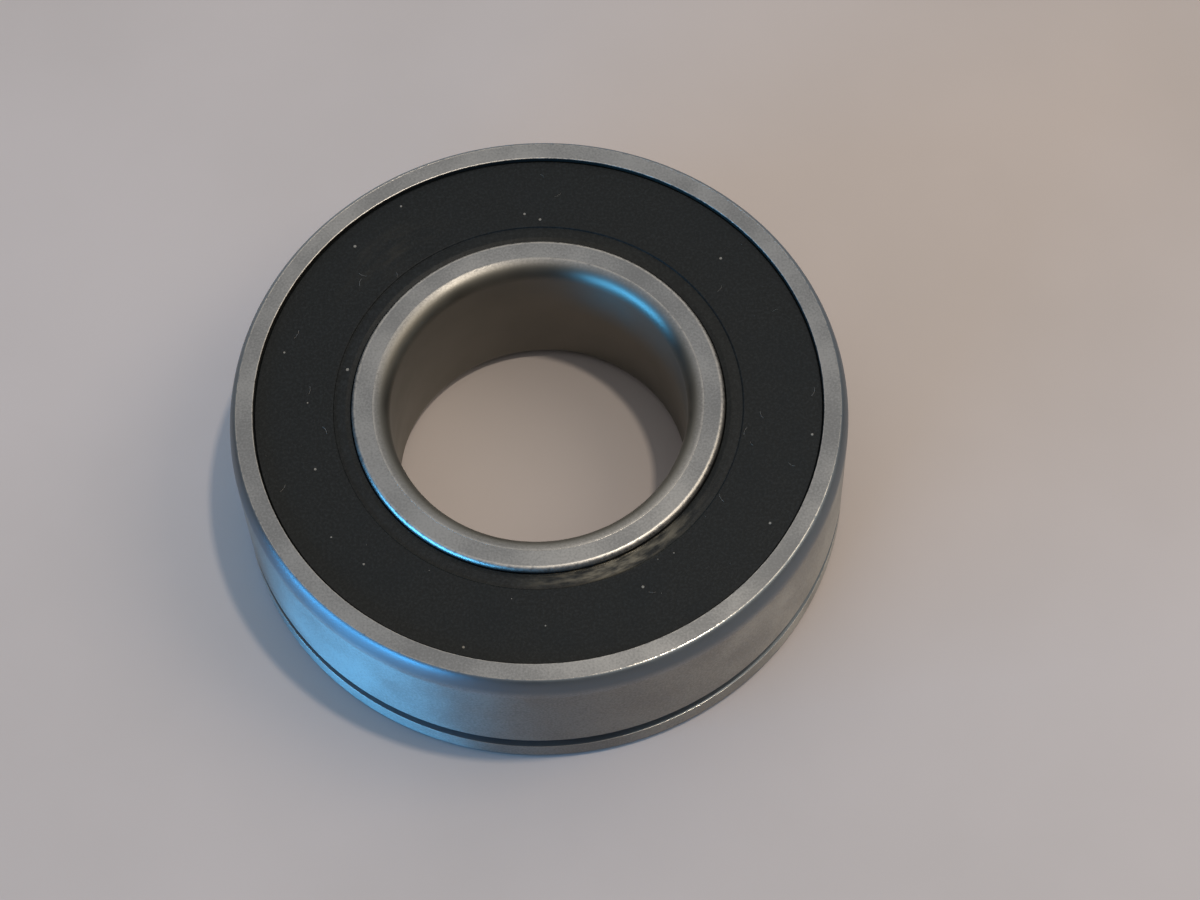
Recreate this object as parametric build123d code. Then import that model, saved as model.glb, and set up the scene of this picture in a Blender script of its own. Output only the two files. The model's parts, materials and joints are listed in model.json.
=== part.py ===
"""Single-row deep groove ball bearing, sealed on both sides, with a snap-ring groove.

Millimetres.  +Z is the bearing axis and the origin is the middle of the bore at
half the width.  The snap-ring groove is on the -Z side of the outer ring.
"""
from build123d import *
import math
import os

os.makedirs("parts", exist_ok=True)

# ---- boundary sizes -------------------------------------------------------------
bore_diameter = 25.0
outer_diameter = 52.0
width = 15.0

# ---- balls and raceways ---------------------------------------------------------
ball_diameter = 7.938
ball_count = 9
race_gap = 0.05              # between a ball and either raceway, at rest
inner_race_ratio = 0.52      # raceway radius over ball diameter
outer_race_ratio = 0.53
inner_shoulder_height = 1.92  # shoulder above the deepest line of the raceway
outer_shoulder_height = 1.32

# ---- ring corners ---------------------------------------------------------------
outer_corner_radial = 0.72   # plain side of the outer ring, a long lead-in corner
outer_corner_axial = 2.2
groove_side_corner = 0.6     # snap-ring side of the outer ring
bore_corner_radial = 1.37
bore_corner_axial = 1.6

# ---- snap-ring groove in the outside of the outer ring ----------------------------
snap_groove_diameter = 49.73
snap_groove_width = 1.35
snap_groove_from_face = 2.39

# ---- where the seals sit ----------------------------------------------------------
rim_wall = 2.14              # outside diameter to the inner edge of the rim face
rim_lip = 0.5                # thickness of the lip that holds the seal in
rim_edge_break = 0.1
seal_groove_depth = 0.74     # undercut behind the lip
seal_seat_depth = 1.5        # face of the ring down to the shoulder the seal sits on
seal_land_step = 1.5         # inner shoulder down to the cylinder that the lip runs on
seal_land_length = 2.3
land_edge_radius = 0.45
shoulder_chamfer = 0.2

# ---- seals ------------------------------------------------------------------------
seal_recess = 0.38           # outer face of the rubber below the ring faces
seal_bead_gap = 0.02         # around the bead in its groove
lip_gap = 0.06               # running gap between the lip and its land
lip_zone_width = 1.45        # thinner zone beside the lip
lip_zone_step = 0.2
lip_tip_thickness = 0.5
insert_thickness = 0.4
insert_cover = 0.42          # rubber over the steel insert
insert_edge_inner = 0.55     # rubber beyond the insert, each side
insert_edge_outer = 0.7

# ---- cage -------------------------------------------------------------------------
cage_thickness = 0.7
cage_side_gap = 0.35         # to the shoulders of both rings
pocket_gap = 0.12            # around each ball
rivet_diameter = 1.0
rivet_hole_gap = 0.02
rivet_head_diameter = 1.8
rivet_head_height = 0.45

# ---- worked out -------------------------------------------------------------------
bore_radius = bore_diameter / 2
outer_radius = outer_diameter / 2
face = width / 2
ball_radius = ball_diameter / 2
pitch_radius = (bore_radius + outer_radius) / 2

inner_race_radius = inner_race_ratio * ball_diameter
outer_race_radius = outer_race_ratio * ball_diameter
inner_race_bottom = pitch_radius - ball_radius - race_gap
outer_race_bottom = pitch_radius + ball_radius + race_gap
inner_shoulder = inner_race_bottom + inner_shoulder_height
outer_shoulder = outer_race_bottom - outer_shoulder_height

rim_radius = outer_radius - rim_wall
seal_groove_radius = rim_radius + seal_groove_depth
seal_seat = face - seal_seat_depth
seal_land_radius = inner_shoulder - seal_land_step
seal_top = face - seal_recess
cage_inner_radius = inner_shoulder + cage_side_gap
cage_outer_radius = outer_shoulder - cage_side_gap


def race_half_width(race_radius, shoulder_height):
    """Axial distance from the middle of a raceway to where it meets its shoulder."""
    return math.sqrt(race_radius**2 - (race_radius - shoulder_height) ** 2)


def revolved(edges):
    """Solid of revolution about Z of a closed outline drawn as (radius, height)."""
    return revolve(Plane.XZ * make_face(edges), axis=Axis.Z)


def chain(*points):
    """Straight edges through the given points, left open."""
    return [Line(a, b) for a, b in zip(points, points[1:])]


def corner(radius, height, radial, axial, quadrant):
    """Quarter ellipse between the cylinder of this radius and the flat face at this height.

    Quadrant 0 faces outward and up, and the others follow anticlockwise.
    """
    outward = 1 if quadrant in (0, 3) else -1
    up = 1 if quadrant in (0, 1) else -1
    centre = (radius - outward * radial, height - up * axial)
    return EllipticalCenterArc(centre, radial, axial, start_angle=90 * quadrant, arc_size=90)


def flipped(point):
    """The same point on the other side of the middle plane."""
    return (point[0], -point[1])


def mirrored(solid):
    return mirror(solid, about=Plane.XY)


def outer_ring():
    half_race = race_half_width(outer_race_radius, outer_shoulder_height)
    groove_low = -face + snap_groove_from_face
    groove_high = groove_low + snap_groove_width
    groove_radius = snap_groove_diameter / 2
    lip_under = face - rim_lip
    seal_side = [
        (rim_radius + rim_edge_break, face),
        (rim_radius, face - rim_edge_break),
        (rim_radius, lip_under),
        (seal_groove_radius, lip_under),
        (seal_groove_radius, seal_seat),
        (outer_shoulder + shoulder_chamfer, seal_seat),
        (outer_shoulder, seal_seat - shoulder_chamfer),
        (outer_shoulder, half_race),
    ]
    other_side = [flipped(point) for point in reversed(seal_side)]
    outline = chain((outer_radius - outer_corner_radial, face), *seal_side)
    outline += [ThreePointArc(seal_side[-1], (outer_race_bottom, 0), other_side[0])]
    outline += chain(*other_side, (outer_radius - groove_side_corner, -face))
    outline += [corner(outer_radius, -face, groove_side_corner, groove_side_corner, 3)]
    outline += chain(
        (outer_radius, -face + groove_side_corner),
        (outer_radius, groove_low),
        (groove_radius, groove_low),
        (groove_radius, groove_high),
        (outer_radius, groove_high),
        (outer_radius, face - outer_corner_axial),
    )
    outline += [corner(outer_radius, face, outer_corner_radial, outer_corner_axial, 0)]
    return revolved(outline)


def inner_ring():
    half_race = race_half_width(inner_race_radius, inner_shoulder_height)
    land_bottom = face - seal_land_length
    seal_side = [
        (seal_land_radius, face - land_edge_radius),
        (seal_land_radius, land_bottom),
        (inner_shoulder - shoulder_chamfer, land_bottom),
        (inner_shoulder, land_bottom - shoulder_chamfer),
        (inner_shoulder, half_race),
    ]
    other_side = [flipped(point) for point in reversed(seal_side)]
    end_face = [(bore_radius + bore_corner_radial, face), (seal_land_radius - land_edge_radius, face)]
    bore_line = [(bore_radius, face - bore_corner_axial), (bore_radius, bore_corner_axial - face)]
    outline = chain(*end_face) + chain(*map(flipped, end_face)) + chain(*bore_line)
    outline += chain(*seal_side) + chain(*other_side)
    outline += [ThreePointArc(seal_side[-1], (inner_race_bottom, 0), other_side[0])]
    for quadrant, height in ((0, face), (3, -face)):
        outline += [corner(seal_land_radius, height, land_edge_radius, land_edge_radius, quadrant)]
    for quadrant, height in ((1, face), (2, -face)):
        outline += [corner(bore_radius, height, bore_corner_radial, bore_corner_axial, quadrant)]
    return revolved(outline)


def seal_insert():
    """Steel ring that stiffens the seal; its inner face is left bare."""
    inner = seal_land_radius + lip_gap + lip_tip_thickness + insert_edge_inner
    outer = rim_radius - insert_edge_outer
    top = seal_top - insert_cover
    bottom = top - insert_thickness
    return revolved(chain((inner, bottom), (outer, bottom), (outer, top), (inner, top), (inner, bottom)))


def seal_rubber(insert):
    """Moulded rubber: bead in the ring's groove, flat web, step and running lip."""
    bead = seal_groove_radius - seal_bead_gap
    bead_top = face - rim_lip - seal_bead_gap
    web_outer = rim_radius - seal_bead_gap
    lip = seal_land_radius + lip_gap
    step = lip + lip_zone_width
    lip_top = seal_top - lip_zone_step
    under = seal_top - insert_cover - insert_thickness
    outline = chain(
        (bead, seal_seat),
        (bead, bead_top),
        (web_outer, bead_top),
        (web_outer - (seal_top - bead_top), seal_top),
        (step, seal_top),
        (step - lip_zone_step, lip_top),
        (lip + lip_tip_thickness, lip_top),
        (lip, lip_top - lip_tip_thickness),
        (lip, under - lip_tip_thickness),
        (lip + lip_tip_thickness, under),
        (outer_shoulder + shoulder_chamfer, under),
        (outer_shoulder + shoulder_chamfer, seal_seat),
        (bead, seal_seat),
    )
    return revolved(outline) - insert


def around_pitch(index, turn=0.0):
    """Place on the pitch circle: ball positions, or the webs between them at turn 0.5."""
    return Rot(0, 0, 360 / ball_count * (index + turn)) * Pos(pitch_radius, 0, 0)


def cage_half():
    """Upper half of the pressed ribbon cage: flat webs joined by pockets over the balls."""
    top = ball_radius + pocket_gap + cage_thickness
    band = Cylinder(cage_outer_radius, top, align=(Align.CENTER, Align.CENTER, Align.MIN))
    band -= Cylinder(cage_inner_radius, top, align=(Align.CENTER, Align.CENTER, Align.MIN))
    webs = Cylinder(cage_outer_radius, cage_thickness, align=(Align.CENTER, Align.CENTER, Align.MIN))
    webs -= Cylinder(cage_inner_radius, cage_thickness, align=(Align.CENTER, Align.CENTER, Align.MIN))
    domes = [around_pitch(i) * Sphere(top) for i in range(ball_count)]
    hollows = [around_pitch(i) * Sphere(ball_radius + pocket_gap) for i in range(ball_count)]
    hole = Cylinder(rivet_diameter / 2 + rivet_hole_gap, 4 * cage_thickness)
    holes = [around_pitch(i, 0.5) * hole for i in range(ball_count)]
    half = webs
    for dome in domes:
        half += dome & band
    for cut in hollows + holes:
        half -= cut
    return half


def cage_rivet(index):
    """Shank through both webs, closed with a domed head on each side."""
    shank = Cylinder(rivet_diameter / 2, 2 * cage_thickness)
    head_radius = rivet_head_diameter / 2
    dome_radius = (head_radius**2 + rivet_head_height**2) / (2 * rivet_head_height)
    head = revolved(
        [
            Line((0, cage_thickness), (head_radius, cage_thickness)),
            RadiusArc((head_radius, cage_thickness), (0, cage_thickness + rivet_head_height), -dome_radius),
            Line((0, cage_thickness + rivet_head_height), (0, cage_thickness)),
        ]
    )
    return around_pitch(index, 0.5) * (shank + head + mirrored(head))


upper_insert = seal_insert()
upper_rubber = seal_rubber(upper_insert)
upper_cage = cage_half()

nodes = {
    "outer_ring": outer_ring(),
    "inner_ring": inner_ring(),
    "seal_upper_rubber": upper_rubber,
    "seal_upper_insert": upper_insert,
    "seal_lower_rubber": mirrored(upper_rubber),
    "seal_lower_insert": mirrored(upper_insert),
    "cage_half_upper": upper_cage,
    "cage_half_lower": mirrored(upper_cage),
}
for number in range(1, ball_count + 1):
    nodes[f"ball_{number}"] = around_pitch(number - 1) * Sphere(ball_radius)
    nodes[f"cage_rivet_{number}"] = cage_rivet(number - 1)

for name, solid in nodes.items():
    export_step(solid, f"parts/{name}.step")
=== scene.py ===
# %% [markdown]
# # A sealed ball bearing
# A deep groove ball bearing is a set of turned rings: an outer and an inner steel ring, two rubber
# seals, and inside them nine balls in a riveted cage.  Nearly every piece is round about one axis,
# so this lesson draws each section once and turns it with Geometry Nodes, as a lathe would.  The
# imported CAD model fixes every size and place, and the pieces made here stand in for its plain
# ones.

# %% Load the CAD frame
import json
import math

import bmesh
import bpy
from mathutils import Matrix, Vector


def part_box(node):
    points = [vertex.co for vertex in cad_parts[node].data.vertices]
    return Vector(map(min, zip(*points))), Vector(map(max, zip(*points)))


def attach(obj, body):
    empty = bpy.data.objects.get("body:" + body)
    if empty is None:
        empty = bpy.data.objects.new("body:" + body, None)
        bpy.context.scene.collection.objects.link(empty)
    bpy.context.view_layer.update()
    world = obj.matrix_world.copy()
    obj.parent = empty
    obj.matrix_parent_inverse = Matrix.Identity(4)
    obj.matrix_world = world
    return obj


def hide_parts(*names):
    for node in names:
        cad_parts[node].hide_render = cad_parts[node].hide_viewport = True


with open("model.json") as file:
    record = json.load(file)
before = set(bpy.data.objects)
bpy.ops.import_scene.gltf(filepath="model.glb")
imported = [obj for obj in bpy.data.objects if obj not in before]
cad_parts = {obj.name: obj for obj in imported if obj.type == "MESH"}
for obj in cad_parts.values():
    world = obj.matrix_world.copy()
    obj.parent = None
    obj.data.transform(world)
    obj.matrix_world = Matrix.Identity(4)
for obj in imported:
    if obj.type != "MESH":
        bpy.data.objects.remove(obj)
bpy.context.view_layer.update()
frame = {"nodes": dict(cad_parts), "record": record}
scene = bpy.context.scene

# %% [markdown]
# ## Sizes
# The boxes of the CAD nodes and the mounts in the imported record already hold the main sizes, so
# those are read from there.  The few that a box can't give, such as the depth of a groove, are
# written here once, in metres.  Named sizes keep every section in step with the others.

# %% Sizes of the rings, seals and balls
MM = 0.001
mounts = {mount["name"]: mount for mount in frame["record"]["mounts"]}
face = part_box("outer_ring")[1].z
outer_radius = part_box("outer_ring")[1].x
inner_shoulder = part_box("inner_ring")[1].x
bore_radius = mounts["shaft_bore"]["dims"]["r_mm"] * MM

ball_low, ball_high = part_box("ball_1")
ball_radius = (ball_high.z - ball_low.z) / 2
pitch_radius = (ball_high.x + ball_low.x) / 2
ball_count = sum(name.startswith("ball_") for name in frame["nodes"])

INNER_RACE_RATIO, OUTER_RACE_RATIO = 0.52, 0.53  # radius of a ball's track over the ball's diameter
race_gap = 0.05 * MM
inner_race_radius = INNER_RACE_RATIO * 2 * ball_radius
outer_race_radius = OUTER_RACE_RATIO * 2 * ball_radius
inner_race_bottom = pitch_radius - ball_radius - race_gap
outer_race_bottom = pitch_radius + ball_radius + race_gap
outer_shoulder_height = 1.32 * MM
outer_shoulder = outer_race_bottom - outer_shoulder_height

rim_wall, seal_groove_depth = 2.14 * MM, 0.74 * MM
seal_land_step, seal_seat_depth = 1.5 * MM, 1.5 * MM
rim_radius = outer_radius - rim_wall
seal_groove_radius = rim_radius + seal_groove_depth
seal_land_radius = inner_shoulder - seal_land_step
seal_seat = face - seal_seat_depth
seal_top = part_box("seal_upper_rubber")[1].z
rim_lip = 0.5 * MM
for label, half in (("outside", outer_radius), ("bore", bore_radius), ("width", face)):
    print(f"{label} {2 * half / MM:.1f} mm")
ball_size, circle_size = 2 * ball_radius / MM, 2 * pitch_radius / MM
print(f"{ball_count} balls of {ball_size:.3f} mm on a {circle_size:.2f} mm circle")

# %% [markdown]
# ## Drawing a section
# A turned part is defined by the outline that the tool follows.  The outline could be a curve
# object drawn by hand, but a list of corners is easier to read and to change: each corner has a
# radius, a height, a rounding and the finish of the surface that follows it.  No real edge is
# sharp, and the tiny roundings are what catches the light.  Each rounding keeps a short flat on
# both sides, which holds the shading of the wide faces still.  Three finishes are enough: a flat
# ground face, a surface ground round the axis, and a corner left as it was turned and hardened.

# %% Corners, roundings and long elliptical corners
ARC_STEPS = 5
FLAT_BESIDE_ROUNDING = 0.02 * MM
FACE, ROUND, TURNED = 0.0, 0.5, 1.0
PALE_TURNED = 0.78  # turned, but still as pale as a ground surface
EDGE_FADE, FACE_FADE, WALL_FADE = 9.0, 2.2, 2.8  # how soon each blend ends along a long corner


def corner(radius, height, rounding=0.0, finish=FACE):
    """One corner of a section, with the finish of the surface that follows it."""
    return {"at": Vector((radius, height)), "rounding": rounding, "finish": finish, "edge": 0.0}


def long_corner(radius, height, radial, axial, quadrant, at_face=TURNED, at_wall=TURNED, steps=16):
    """Quarter ellipse from a cylinder to a flat face, with the finish that it has at each end."""
    outward = 1 if quadrant in (0, 3) else -1
    up = 1 if quadrant in (0, 1) else -1
    centre = Vector((radius - outward * radial, height - up * axial))
    corners = []
    for step in range(steps + 1):
        turn = math.radians(90 * (quadrant + step / steps))
        at = centre + Vector((radial * math.cos(turn), axial * math.sin(turn)))
        from_face = step / steps if up != outward else 1 - step / steps
        edge = max(0.0, 1 - EDGE_FADE * from_face)
        near_face = max(0.0, 1 - FACE_FADE * from_face)
        near_wall = max(0.0, 1 - WALL_FADE * (1 - from_face))
        finish = TURNED - (TURNED - at_face) * near_face - (TURNED - at_wall) * near_wall
        corners.append({"at": at, "rounding": 0.0, "finish": finish, "edge": edge})
    return corners


def raceway(start, bottom_radius, radius, steps=20):
    """Arc of a ball's track from this corner to its mirror image, through the deepest line."""
    side = 1 if start.x < bottom_radius else -1
    centre = Vector((bottom_radius - side * radius, 0.0))
    half_turn = math.atan2(start.y, side * (start.x - centre.x))
    corners = []
    for step in range(1, steps):
        turn = half_turn * (1 - 2 * step / steps)
        at = centre + Vector((side * radius * math.cos(turn), radius * math.sin(turn)))
        corners.append(corner(*at))
    return corners


def flipped_over(corners):
    """The same corners on the other side of the middle plane, in reverse order."""
    return [dict(c, at=Vector((c["at"].x, -c["at"].y))) for c in reversed(corners)]


def mirrored(corners):
    """The mirror image of a section, with each finish moved to the corner it now follows."""
    flipped = flipped_over(corners)
    finishes = [c["finish"] for c in corners]
    for c, finish in zip(flipped, [finishes[-1]] + finishes[::-1][1:]):
        c["finish"] = finish
    return flipped


def rounded(corners):
    """Replaces each rounded corner by an arc with a short flat at each end."""
    points = []
    for index, here in enumerate(corners):
        size = here["rounding"]
        if size == 0:
            points.append(here)
            continue
        back = (corners[index - 1]["at"] - here["at"]).normalized()
        ahead = (corners[(index + 1) % len(corners)]["at"] - here["at"]).normalized()
        half_angle = back.angle(ahead) / 2
        reach = size / math.tan(half_angle)
        centre = here["at"] + (back + ahead).normalized() * size / math.sin(half_angle)
        first, last = here["at"] + back * reach, here["at"] + ahead * reach
        before = corners[index - 1]["finish"]
        points.append(dict(here, at=first + back * FLAT_BESIDE_ROUNDING, finish=before))
        for step in range(ARC_STEPS + 1):
            share = step / ARC_STEPS
            spoke = (first - centre).lerp(last - centre, share).normalized() * size
            edge = math.sin(math.pi * share)
            finish = before if share < 0.5 else here["finish"]
            points.append(dict(here, at=centre + spoke, edge=edge, finish=finish))
        points.append(dict(here, at=last + ahead * FLAT_BESIDE_ROUNDING))
    return points


def outline_object(name, corners, closed=True):
    """A wire mesh of the section in the XZ plane, with its finish and edge stored on the points."""
    points = rounded(corners)
    mesh = bpy.data.meshes.new(name)
    count = len(points)
    wires = [(i, (i + 1) % count) for i in range(count if closed else count - 1)]
    mesh.from_pydata([(p["at"].x, 0.0, p["at"].y) for p in points], wires, [])
    for attribute in ("finish", "edge"):
        layer = mesh.attributes.new(attribute, "FLOAT", "POINT")
        layer.data.foreach_set("value", [p[attribute] for p in points])
    outline = bpy.data.objects.new(name, mesh)
    scene.collection.objects.link(outline)
    return outline


print(f"rounded corners of {ARC_STEPS + 3} points; finishes {FACE}, {ROUND} and {TURNED}")

# %% [markdown]
# ## A lathe in Geometry Nodes
# Blender's Spin tool and the Screw modifier both turn an outline, but Curve to Mesh does the same
# in a tree that can be reused with named inputs: the outline becomes the profile of a circle.  The
# profile is moved so that its own zero lies on the circle, which keeps small numbers accurate.
# The attributes on the outline's points travel with it, so the tree can give each finish its own
# steel.

# %% Helpers that build a node tree and run it
GEOMETRY = "NodeSocketGeometry"
MERGE_DISTANCE = 1e-7


def new_tree(name, inputs):
    """An empty Geometry Nodes tree with the named inputs, and its input and output nodes."""
    tree = bpy.data.node_groups.new(name, "GeometryNodeTree")
    tree.interface.new_socket("Geometry", in_out="INPUT", socket_type=GEOMETRY)
    for label, kind in inputs.items():
        tree.interface.new_socket(label, in_out="INPUT", socket_type="NodeSocket" + kind)
    tree.interface.new_socket("Geometry", in_out="OUTPUT", socket_type=GEOMETRY)
    return tree, tree.nodes.new("NodeGroupInput"), tree.nodes.new("NodeGroupOutput")


def finish_tree(tree, geometry, inputs, outputs):
    """Ends a tree as the export needs it: real geometry, smooth, with its material set."""
    smooth = tree.nodes.new("GeometryNodeSetShadeSmooth")
    realize = tree.nodes.new("GeometryNodeRealizeInstances")
    material = tree.nodes.new("GeometryNodeSetMaterial")
    tree.links.new(geometry, smooth.inputs["Geometry"])
    tree.links.new(smooth.outputs["Geometry"], realize.inputs["Geometry"])
    tree.links.new(realize.outputs["Geometry"], material.inputs["Geometry"])
    tree.links.new(inputs.outputs["Material"], material.inputs["Material"])
    tree.links.new(material.outputs["Geometry"], outputs.inputs["Geometry"])


def run_tree(name, source, tree, **values):
    """Runs a tree on the source object and keeps the result as a plain mesh at the origin."""
    modifier = source.modifiers.new(tree.name, "NODES")
    modifier.node_group = tree
    for item in tree.interface.items_tree:
        label = item.name.lower().replace(" ", "_")
        if item.item_type == "SOCKET" and item.in_out == "INPUT" and label in values:
            modifier[item.identifier] = values[label]
    evaluated = source.evaluated_get(bpy.context.evaluated_depsgraph_get())
    mesh = bpy.data.meshes.new_from_object(evaluated)
    mesh.name = name
    source.modifiers.remove(modifier)
    piece = bpy.data.objects.new(name, mesh)
    scene.collection.objects.link(piece)
    return piece


def point_outwards(piece, merge=MERGE_DISTANCE):
    """Closes seams and poles, then turns every face outwards."""
    mesh = bmesh.new()
    mesh.from_mesh(piece.data)
    bmesh.ops.remove_doubles(mesh, verts=mesh.verts, dist=merge)
    bmesh.ops.recalc_face_normals(mesh, faces=mesh.faces)
    loose = sum(not edge.is_manifold for edge in mesh.edges)
    volume = mesh.calc_volume(signed=True)
    triangles = sum(len(f.verts) - 2 for f in mesh.faces)
    mesh.to_mesh(piece.data)
    mesh.free()
    print(f"{piece.name}: {triangles} triangles, {volume * 1e9:.1f} mm3, {loose} open edges")
    return piece


# %% [markdown]
# The lathe is one tree.  It sets the section on a circle, sweeps it round, and then paints the
# round and the turned surfaces over the first material, wherever the finish is high enough.

# %% The lathe tree
def link_chain(tree, *sockets):
    """Links sockets in pairs: output, input, output, input."""
    for source, target in zip(sockets[::2], sockets[1::2]):
        tree.links.new(source, target)


def build_lathe():
    """Turns a section about Z and picks one of three materials by the finish of each face."""
    sizes = {
        "Segments": "Int", "Sweep Radius": "Float",
        "Material": "Material", "Round Material": "Material", "Turned Material": "Material",
    }
    tree, inputs, outputs = new_tree("lathe", sizes)
    nodes = tree.nodes
    position = nodes.new("GeometryNodeInputPosition")
    split = nodes.new("ShaderNodeSeparateXYZ")
    across = nodes.new("ShaderNodeMath")
    across.operation = "SUBTRACT"
    down = nodes.new("ShaderNodeMath")
    down.operation = "MULTIPLY"
    down.inputs[1].default_value = -1.0
    local = nodes.new("ShaderNodeCombineXYZ")
    place = nodes.new("GeometryNodeSetPosition")
    profile = nodes.new("GeometryNodeMeshToCurve")
    circle = nodes.new("GeometryNodeCurvePrimitiveCircle")
    sweep = nodes.new("GeometryNodeCurveToMesh")
    link_chain(
        tree,
        position.outputs["Position"], split.inputs["Vector"],
        split.outputs["X"], across.inputs[0],
        inputs.outputs["Sweep Radius"], across.inputs[1],
        split.outputs["Z"], down.inputs[0],
        across.outputs["Value"], local.inputs["X"],
        down.outputs["Value"], local.inputs["Y"],
        inputs.outputs["Geometry"], place.inputs["Geometry"],
        local.outputs["Vector"], place.inputs["Position"],
        place.outputs["Geometry"], profile.inputs["Mesh"],
        inputs.outputs["Segments"], circle.inputs["Resolution"],
        inputs.outputs["Sweep Radius"], circle.inputs["Radius"],
        circle.outputs["Curve"], sweep.inputs["Curve"],
        profile.outputs["Curve"], sweep.inputs["Profile Curve"],
    )
    finish_tree(tree, sweep.outputs["Mesh"], inputs, outputs)
    finish = nodes.new("GeometryNodeInputNamedAttribute")
    finish.data_type = "FLOAT"
    finish.inputs["Name"].default_value = "finish"
    round_from, turned_from = (FACE + ROUND) / 2, (ROUND + TURNED) / 2
    for label, above in (("Round Material", round_from), ("Turned Material", turned_from)):
        chosen = nodes.new("FunctionNodeCompare")
        chosen.operation = "GREATER_THAN"
        chosen.inputs["B"].default_value = above
        repaint = nodes.new("GeometryNodeSetMaterial")
        link_chain(
            tree,
            finish.outputs["Attribute"], chosen.inputs["A"],
            chosen.outputs["Result"], repaint.inputs["Selection"],
            outputs.inputs["Geometry"].links[0].from_socket, repaint.inputs["Geometry"],
            inputs.outputs[label], repaint.inputs["Material"],
            repaint.outputs["Geometry"], outputs.inputs["Geometry"],
        )
    return tree


lathe = build_lathe()
RING_SEGMENTS = 320


def run_bare(name, tree, **values):
    """Runs a tree that makes its own geometry, on a short wire that is cleared away afterwards."""
    start = outline_object(name + "_start", [corner(0, 0), corner(1 * MM, 0)], closed=False)
    piece = run_tree(name, start, tree, **values)
    bpy.data.objects.remove(start)
    return piece


def turned(name, corners, face_material, round_material=None, turned_material=None):
    """Draws the section, turns it about the bearing axis and clears the drawing away."""
    outline = outline_object(name + "_outline", corners)
    piece = run_tree(
        name, outline, lathe, segments=RING_SEGMENTS, sweep_radius=pitch_radius,
        material=face_material, round_material=round_material or face_material,
        turned_material=turned_material or face_material,
    )
    bpy.data.objects.remove(outline)
    return point_outwards(piece)


print("lathe tree:", len(lathe.nodes), "nodes")

# %% [markdown]
# ## Shared surface effects
# Steel and rubber share some effects: fine lines that run round the part, wear that brightens the
# edges, and dust.  Each is a shader node group with named inputs that puts out a single value, so
# every material can use it with its own strength.  The patterns read Object coordinates, which are
# the bearing's own frame here, so they stay put when the camera or the rings move.

# %% Helpers for shader nodes
def shader_group(name, inputs, outputs):
    """A shader node group with float inputs (name to default value) and float outputs."""
    group = bpy.data.node_groups.new(name, "ShaderNodeTree")
    for label, value in inputs.items():
        socket = group.interface.new_socket(label, in_out="INPUT", socket_type="NodeSocketFloat")
        socket.default_value = value
    for label in outputs:
        group.interface.new_socket(label, in_out="OUTPUT", socket_type="NodeSocketFloat")
    return group, group.nodes.new("NodeGroupInput"), group.nodes.new("NodeGroupOutput")


def feed(tree, value, socket):
    """Links another node's output to this input, or sets the input to a plain value."""
    if isinstance(value, bpy.types.NodeSocket):
        tree.links.new(value, socket)
    elif value is not None:
        socket.default_value = value


def math_node(tree, operation, first, second=None, third=None, clamp=False):
    """A Math node whose inputs are sockets or plain numbers; returns its output socket."""
    node = tree.nodes.new("ShaderNodeMath")
    node.operation = operation
    node.use_clamp = clamp
    for slot, value in enumerate((first, second, third)):
        feed(tree, value, node.inputs[slot])
    return node.outputs[0]


def vector_node(tree, operation, first, second=None):
    """A Vector Math node, made like a Math node; LENGTH gives a number and the rest a vector."""
    node = tree.nodes.new("ShaderNodeVectorMath")
    node.operation = operation
    for slot, value in enumerate((first, second)):
        feed(tree, value, node.inputs[slot])
    return node.outputs["Value" if operation == "LENGTH" else "Vector"]


def noise(tree, vector, scale, detail=2.0, roughness=0.5):
    """Noise texture; scale is a number or a socket."""
    node = tree.nodes.new("ShaderNodeTexNoise")
    node.inputs["Detail"].default_value = detail
    node.inputs["Roughness"].default_value = roughness
    tree.links.new(vector, node.inputs["Vector"])
    feed(tree, scale, node.inputs["Scale"])
    return node.outputs["Fac"]


def ramp(tree, value, low, high):
    """0 at or below low, 1 at or above high, smooth between."""
    node = tree.nodes.new("ShaderNodeMapRange")
    node.interpolation_type = "SMOOTHSTEP"
    tree.links.new(value, node.inputs["Value"])
    feed(tree, low, node.inputs["From Min"])
    feed(tree, high, node.inputs["From Max"])
    return node.outputs["Result"]


def attribute(tree, name):
    """A number that was stored on the points of the section."""
    node = tree.nodes.new("ShaderNodeAttribute")
    node.attribute_name = name
    return node.outputs["Fac"]


def object_place(tree):
    """Where a point lies in the bearing's own frame, in metres."""
    return tree.nodes.new("ShaderNodeTexCoord").outputs["Object"]


def flattened(tree, place):
    """The same place moved straight down to the middle plane."""
    return vector_node(tree, "MULTIPLY", place, (1, 1, 0))


def axis_distance(tree, place):
    """How far a place lies from the bearing's axis."""
    return vector_node(tree, "LENGTH", flattened(tree, place))


print("shader helpers ready in Blender", bpy.app.version_string)

# %% [markdown]
# The lines are a noise that is drawn out round the axis and packed tightly across it.  Wear keeps
# to the edges, dust is a speck in a few cells of a Voronoi pattern, a band of painted shade fades
# away from the circle of a gap, and a patch that marks a smear and a painted sheen fades away
# from the point that it lies round.

# %% Lines that run round the part, edge wear, and dust
HEIGHT_SHARE = 1.37  # mixes the height into the radius, so that walls and faces both get lines


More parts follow.
